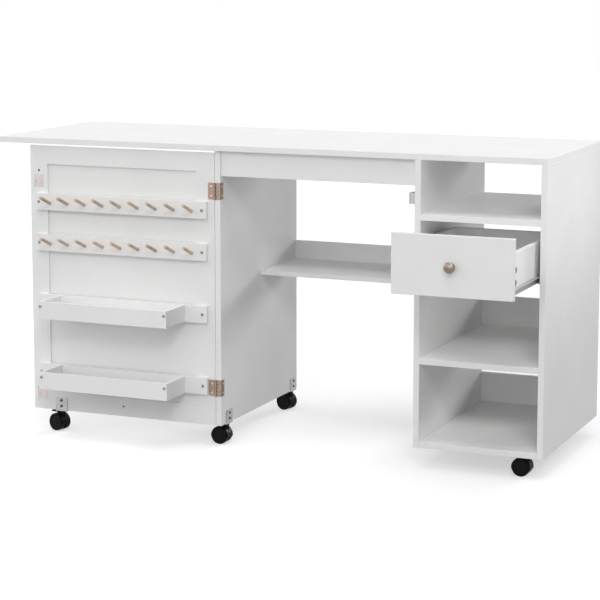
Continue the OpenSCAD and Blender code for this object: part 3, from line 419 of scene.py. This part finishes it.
# A domed head with a cross recess; a sunk one has a dish in place of the dome
def screw_head(name, centre, facing, head, mat, body, sunk=False):
    radius, height = head
    recess_len, recess_w = RECESS_LENGTH * radius, RECESS_WIDTH * radius
    mesh = bmesh.new()

    def point(out, angle):
        u, v = out * radius * math.cos(angle), out * radius * math.sin(angle)
        level = height * (1 - 0.35 * out * out - 0.65 * out ** 8)
        arm = min(abs(u), abs(v)) < recess_w and max(abs(u), abs(v)) < recess_len
        if arm or (sunk and out < DISH_RADIUS):
            level *= RECESS_LEVEL
        return mesh.verts.new((u, v, level))

    tip = point(0.0, 0.0)
    loops = [[point(r / HEAD_RINGS, 2 * math.pi * k / HEAD_TURNS) for k in range(HEAD_TURNS)]
             for r in range(1, HEAD_RINGS + 1)]
    for k in range(HEAD_TURNS):
        after = (k + 1) % HEAD_TURNS
        mesh.faces.new((tip, loops[0][k], loops[0][after]))
        for inner, outer in zip(loops, loops[1:]):
            mesh.faces.new((inner[k], outer[k], outer[after], inner[after]))
    mesh.faces.new(list(reversed(loops[-1])))
    data = bpy.data.meshes.new(name)
    mesh.to_mesh(data)
    mesh.free()
    turn = Vector(facing).to_track_quat("Z", "Y").to_matrix().to_4x4()
    data.transform(Matrix.Translation(centre) @ turn)
    data.materials.append(mat)
    piece = bpy.data.objects.new(name, data)
    bpy.context.scene.collection.objects.link(piece)
    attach(piece, body)


# Where the screws sit, in metres from the edges of their plates and of the door's boards
HINGE_SCREW_STEP = 0.0118
LEAF_SCREW_IN = 0.0085
WING_SCREW_BACK = 0.009
STRIKE_SCREW_IN, STRIKE_SCREW_UP = 0.0067, 0.0154
STILE_SCREW_IN, STILE_SCREW_UP = 0.0143, 0.010
RAIL_SCREW_UP = 0.0259
FORWARD, RIGHTWARD = (0, -1, 0), (1, 0, 0)

leaf_low, leaf_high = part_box("door_hinge_leaves")
wrap_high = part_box("door_hinge_wraps")[1]
door_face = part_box("door_stiles")[0].y
hinge_middles = {"lower": leaf_low.z + HINGE_H / 2, "upper": leaf_high.z - HINGE_H / 2}
for level, middle in hinge_middles.items():
    for side, step in (("low", -HINGE_SCREW_STEP), ("high", HINGE_SCREW_STEP)):
        screw_head("hinge_screw_%s_%s" % (level, side),
                   (leaf_low.x + LEAF_SCREW_IN, door_face - HINGE_PLATE_T, middle + step),
                   FORWARD, HINGE_HEAD, hinge_screw_metal_painted_highlight, "door")
        screw_head("wing_screw_%s_%s" % (level, side),
                   (wrap_high.x, door_face + WING_SCREW_BACK, middle + step),
                   RIGHTWARD, HINGE_HEAD, hinge_screw_metal_painted_highlight, "frame")
strike_low, strike_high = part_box("strike_plates")
for level, foot in (("lower", strike_low.z), ("upper", strike_high.z - STRIKE_H)):
    screw_head("strike_screw_" + level,
               (strike_low.x + STRIKE_SCREW_IN, strike_low.y, foot + STRIKE_SCREW_UP),
               FORWARD, STRIKE_HEAD, zinc, "door")
rails_low, rails_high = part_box("door_rails")
screw_head("door_stile_screw",
           (strike_low.x + STILE_SCREW_IN, door_face, strike_high.z + STILE_SCREW_UP),
           FORWARD, STILE_HEAD, dark_zinc, "door", sunk=True)
screw_head("door_rail_screw",
           ((rails_low.x + rails_high.x) / 2, door_face, rails_low.z + RAIL_SCREW_UP),
           FORWARD, RAIL_HEAD, dark_zinc, "door", sunk=True)

# Floor and world: white to the camera, and duller where they only light the table
FLOOR_SIZE = 30.0
FLOOR_GREY = 0.38
FLOOR_PALE = 0.60
FLOOR_GLOW = 0.50
AMBIENT = 0.10


def seen_directly(tree):
    path = add(tree, "ShaderNodeLightPath").outputs
    seen = math_node(tree, "MAXIMUM", path["Is Camera Ray"], path["Is Glossy Ray"])
    return math_node(tree, "MAXIMUM", seen, path["Is Transmission Ray"])


def diffuse(tree, level):
    node = add(tree, "ShaderNodeBsdfDiffuse")
    node.inputs["Color"].default_value = (*grey(level), 1)
    return node.outputs[0]


def floor_material():
    mat, tree, bsdf = new_material("studio_floor")
    tree.nodes.remove(bsdf)
    glow = add(tree, "ShaderNodeEmission")
    glow.inputs["Strength"].default_value = FLOOR_GLOW
    white = add(tree, "ShaderNodeAddShader")
    link(tree, diffuse(tree, FLOOR_PALE), white.inputs[0])
    link(tree, glow.outputs[0], white.inputs[1])
    choose = add(tree, "ShaderNodeMixShader")
    link(tree, seen_directly(tree), choose.inputs["Fac"])
    link(tree, diffuse(tree, FLOOR_GREY), choose.inputs[1])
    link(tree, white.outputs[0], choose.inputs[2])
    link(tree, choose.outputs[0], tree.nodes["Material Output"].inputs["Surface"])
    return mat


bpy.ops.mesh.primitive_plane_add(size=FLOOR_SIZE, location=(0, 0, 0))
floor = bpy.context.object
floor.name = "floor"
floor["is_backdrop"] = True
floor.data.materials.append(floor_material())

world = bpy.data.worlds.new("studio")
bpy.context.scene.world = world
world.use_nodes = True
backdrop = world.node_tree.nodes["Background"]
strength = spread(world.node_tree, seen_directly(world.node_tree), low=AMBIENT, high=1.0,
                  from_low=0.0, from_high=1.0)
link(world.node_tree, strength, backdrop.inputs["Strength"])
backdrop.inputs["Color"].default_value = (1, 1, 1, 1)


def sun(name, direction, strength, angle):
    data = bpy.data.lights.new(name, "SUN")
    data.energy = strength
    data.angle = math.radians(angle)
    obj = bpy.data.objects.new(name, data)
    obj.rotation_mode = "QUATERNION"
    obj.rotation_quaternion = Vector(direction).to_track_quat("-Z", "Y")
    bpy.context.scene.collection.objects.link(obj)


# Name, the way the light travels, its strength and its spread in degrees
SUNS = [
    ("key", (-0.385, 0.74, -0.55), 0.64, 16),
    ("back", (-0.28, -0.90, -0.27), 1.60, 17),
    ("top", (0.0, 0.22, -0.975), 1.37, 46),
    ("right", (-0.80, 0.0, -0.75), 0.22, 40),
    ("front", (0.0, 0.95, -0.10), 1.10, 58),
    ("left", (0.85, 0.40, -0.40), 0.80, 50),
]
for settings in SUNS:
    sun(*settings)

# A gridded softbox beside the cabinet, for the upper half of its side and the open drawer.
# The rows are its width, its height and its back in the room, so it shines toward -X.
SOFTBOX_PLACE = (1.35, 0.0, 0.71)
SOFTBOX_ROWS = ((0, 1, 0), (0, 0, 1), (1, 0, 0))
softbox_data = bpy.data.lights.new("softbox", "AREA")
softbox_data.shape = "RECTANGLE"
softbox_data.size = 0.88
softbox_data.size_y = 0.46
softbox_data.spread = math.radians(60)
softbox_data.energy = 0.43
softbox = bpy.data.objects.new("softbox", softbox_data)
softbox.matrix_world = (Matrix.Translation(SOFTBOX_PLACE)
                        @ Matrix(SOFTBOX_ROWS).transposed().to_4x4())
softbox.visible_camera = False
softbox.visible_glossy = False
bpy.context.scene.collection.objects.link(softbox)

# Camera, fitted to the board edges of the photograph, on a 36 mm sensor
CAMERA_PLACE = (2.017906, -4.625425, 1.250381)
YAW = math.radians(22.9864)
PITCH = math.radians(8.2284)
ROLL = math.radians(0.0042)
camera_data = bpy.data.cameras.new("camera")
camera_data.lens = 120.556
camera_data.sensor_width = 36.0
camera_data.shift_y = -0.1
camera_data.clip_start = 0.1
camera_data.clip_end = 60.0
camera = bpy.data.objects.new("camera", camera_data)
ahead = Vector((-math.sin(YAW) * math.cos(PITCH), math.cos(YAW) * math.cos(PITCH),
                -math.sin(PITCH)))
right = Vector((math.cos(YAW), math.sin(YAW), 0))
up = right.cross(ahead)
right_rolled = math.cos(ROLL) * right + math.sin(ROLL) * up
up_rolled = -math.sin(ROLL) * right + math.cos(ROLL) * up
camera_turn = Matrix((right_rolled, up_rolled, -ahead)).transposed()
camera.matrix_world = Matrix.Translation(CAMERA_PLACE) @ camera_turn.to_4x4()
bpy.context.scene.collection.objects.link(camera)
bpy.context.scene.camera = camera

bpy.context.scene.view_settings.view_transform = "Standard"

low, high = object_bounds()
